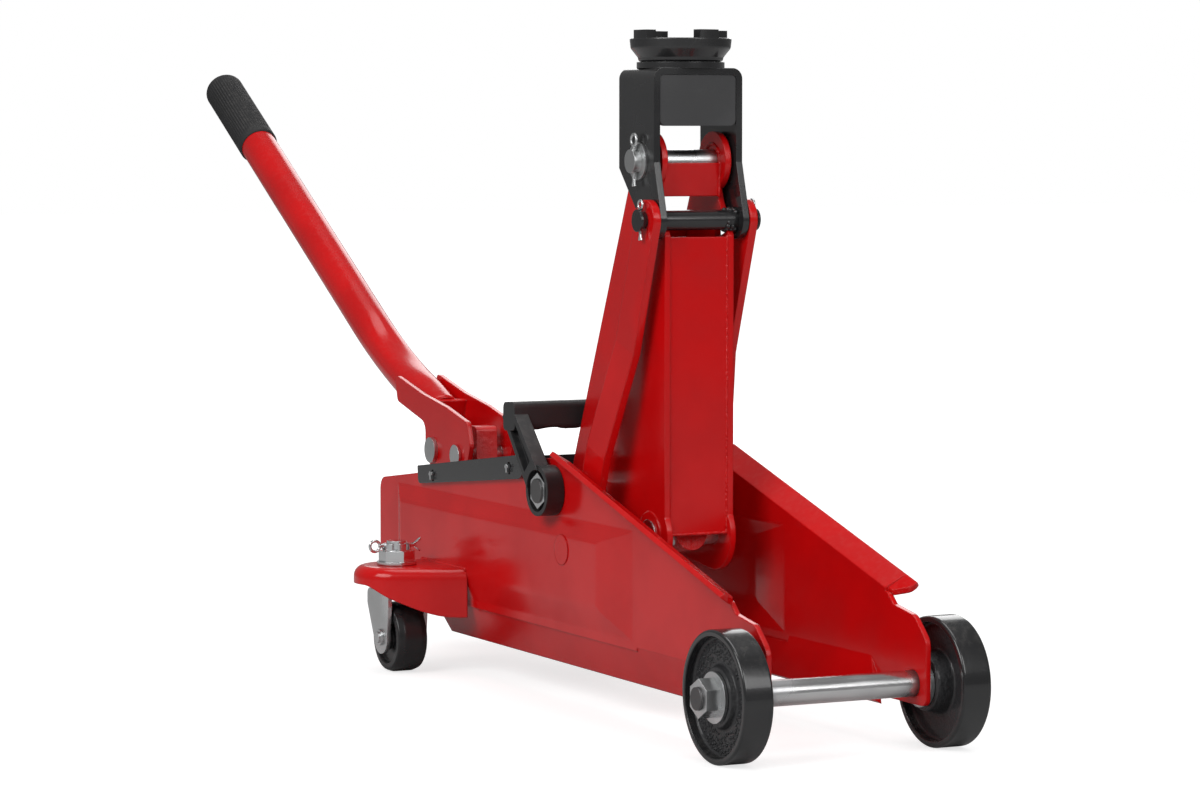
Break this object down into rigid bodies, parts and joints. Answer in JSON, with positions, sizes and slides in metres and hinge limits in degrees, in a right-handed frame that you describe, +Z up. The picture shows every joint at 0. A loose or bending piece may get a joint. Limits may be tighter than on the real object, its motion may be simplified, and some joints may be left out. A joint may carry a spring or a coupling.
{
  "type": "trolley jack",
  "caption": "Compact red hydraulic trolley jack with a raised lift arm, swivelling saddle, bent pump handle, carry handle, solid front wheels and swivel casters.",
  "frame": {"origin": "on the ground, at the centre of the overall bounding box in x and y, with the lift arm raised", "axes": "+X forward to the large wheels, +Y to the left, +Z up"},
  "size_m": [0.9399, 0.21, 0.3811],
  "materials": {
    "paint": "gloss red paint",
    "cast_paint": "red paint on rough casting",
    "black_paint": "gloss black paint",
    "black_plastic": "satin black plastic",
    "black_iron": "gloss black, rough web",
    "hard_rubber": "semi-gloss black",
    "grip_rubber": "ribbed matte black",
    "zinc": "bright zinc plate",
    "steel": "bright drawn bar",
    "ram_steel": "ground bar with a painted end",
    "dark_steel": "blackened"
  },
  "bodies": {
    "chassis": {"side_plate_right": "paint", "side_plate_left": "paint", "rear_floor_plate": "paint", "front_axle": "steel", "axle_spacers": "zinc", "axle_washers": "zinc", "axle_nuts": "zinc", "caster_ear_right": "paint", "caster_ear_left": "paint", "main_shaft": "steel", "shaft_nuts": "zinc", "tie_rod_studs": "paint", "top_cover": "black_paint", "cover_clips": "zinc", "pump_body": "cast_paint", "anchor_pin": "steel", "handle_pivot_pin": "zinc"},
    "lift_arm": {"arm_plate_right": "paint", "arm_plate_left": "paint", "arm_front_plate": "paint", "arm_upper_plate": "paint", "arm_rear_plate": "paint", "arm_bush": "steel", "ram_pin": "steel"},
    "ram": {"ram": "ram_steel"},
    "ram_cylinder": {"ram_cylinder": "paint", "gland_nut": "dark_steel"},
    "saddle_head": {"saddle_bracket": "black_paint", "bracket_stiffener": "black_paint", "head_pin": "zinc", "head_washers": "zinc", "head_split_pins": "zinc", "link_pin": "black_paint", "link_spacer": "black_paint", "link_split_pin": "zinc"},
    "saddle": {"saddle": "black_paint"},
    "tie_rod_right": {"tie_rod_right": "paint"},
    "tie_rod_left": {"tie_rod_left": "paint"},
    "handle": {"handle_socket": "paint", "handle_tube": "paint", "handle_grip": "grip_rubber", "roller_pin": "zinc"},
    "plunger": {"plunger": "steel"},
    "release_valve": {"release_valve": "zinc"},
    "carry_handle": {"carry_handle": "black_plastic"},
    "front_wheel_right": {"front_wheel_right": "black_iron"},
    "front_wheel_left": {"front_wheel_left": "black_iron"},
    "caster_right": {"caster_yoke_right": "zinc", "caster_kingpin_right": "zinc", "caster_nut_right": "zinc", "caster_split_pin_right": "zinc", "caster_axle_right": "zinc"},
    "caster_wheel_right": {"caster_wheel_right": "hard_rubber"},
    "caster_left": {"caster_yoke_left": "zinc", "caster_kingpin_left": "zinc", "caster_nut_left": "zinc", "caster_split_pin_left": "zinc", "caster_axle_left": "zinc"},
    "caster_wheel_left": {"caster_wheel_left": "hard_rubber"}
  },
  "joints": [
    {"name": "lift", "type": "hinge", "parent": "chassis", "child": "lift_arm", "pos_m": [0.19498, 0, 0.121], "axis": [0, 1, 0], "range_deg": [0, 88]},
    {"name": "ram_swing", "type": "hinge", "parent": "lift_arm", "child": "ram", "pos_m": [0.26198, 0, 0.1], "axis": [0, 1, 0], "range_deg": [-74, 0]},
    {"name": "ram_stroke", "type": "slide", "parent": "ram", "child": "ram_cylinder", "axis": [0.989, 0, 0.1479], "range_m": [0, 0.0906]},
    {"name": "head_level", "type": "hinge", "parent": "lift_arm", "child": "saddle_head", "pos_m": [0.25998, 0, 0.3085], "axis": [0, 1, 0], "range_deg": [-88, 0]},
    {"name": "saddle_swivel", "type": "hinge", "parent": "saddle_head", "child": "saddle", "pos_m": [0.25648, 0, 0.363], "axis": [0, 0, 1], "continuous": true},
    {"name": "tie_rod_right_pivot", "type": "hinge", "parent": "chassis", "child": "tie_rod_right", "pos_m": [0.21097, -0.0364, 0.0885], "axis": [0, 1, 0], "range_deg": [0, 88]},
    {"name": "tie_rod_left_pivot", "type": "hinge", "parent": "chassis", "child": "tie_rod_left", "pos_m": [0.21097, 0.0364, 0.0885], "axis": [0, 1, 0], "range_deg": [0, 88]},
    {"name": "handle_pump", "type": "hinge", "parent": "chassis", "child": "handle", "pos_m": [-0.01452, 0, 0.1235], "axis": [0, 1, 0], "range_deg": [-28, 22]},
    {"name": "plunger_stroke", "type": "slide", "parent": "chassis", "child": "plunger", "axis": [0, 0, 1], "range_m": [-0.0182, 0.0143]},
    {"name": "valve_turn", "type": "hinge", "parent": "chassis", "child": "release_valve", "pos_m": [-0.06302, 0.014, 0.066], "axis": [1, 0, 0], "range_deg": [0, 360]},
    {"name": "carry_handle_fold", "type": "hinge", "parent": "chassis", "child": "carry_handle", "pos_m": [0.19498, 0, 0.121], "axis": [0, 1, 0], "range_deg": [-12, 0]},
    {"name": "front_wheel_right_spin", "type": "hinge", "parent": "chassis", "child": "front_wheel_right", "pos_m": [0.43498, -0.0647, 0.035], "axis": [0, 1, 0], "continuous": true},
    {"name": "caster_right_swivel", "type": "hinge", "parent": "chassis", "child": "caster_right", "pos_m": [0.03698, -0.079, 0.055], "axis": [0, 0, 1], "continuous": true},
    {"name": "caster_wheel_right_spin", "type": "hinge", "parent": "caster_right", "child": "caster_wheel_right", "pos_m": [0.04197, -0.079, 0.021], "axis": [0, 1, 0], "continuous": true},
    {"name": "front_wheel_left_spin", "type": "hinge", "parent": "chassis", "child": "front_wheel_left", "pos_m": [0.43498, 0.0647, 0.035], "axis": [0, 1, 0], "continuous": true},
    {"name": "caster_left_swivel", "type": "hinge", "parent": "chassis", "child": "caster_left", "pos_m": [0.03698, 0.079, 0.055], "axis": [0, 0, 1], "continuous": true},
    {"name": "caster_wheel_left_spin", "type": "hinge", "parent": "caster_left", "child": "caster_wheel_left", "pos_m": [0.04197, 0.079, 0.021], "axis": [0, 1, 0], "continuous": true}
  ],
  "couplings": [
    {"joint": "ram_swing", "follows": "lift", "ratio": -0.8393},
    {"joint": "ram_stroke", "follows": "lift", "m_per_rad": 0.05894},
    {"joint": "head_level", "follows": "lift", "ratio": -1},
    {"joint": "tie_rod_right_pivot", "follows": "lift", "ratio": 1},
    {"joint": "tie_rod_left_pivot", "follows": "lift", "ratio": 1},
    {"joint": "plunger_stroke", "follows": "handle_pump", "m_per_rad": 0.037}
  ]
}
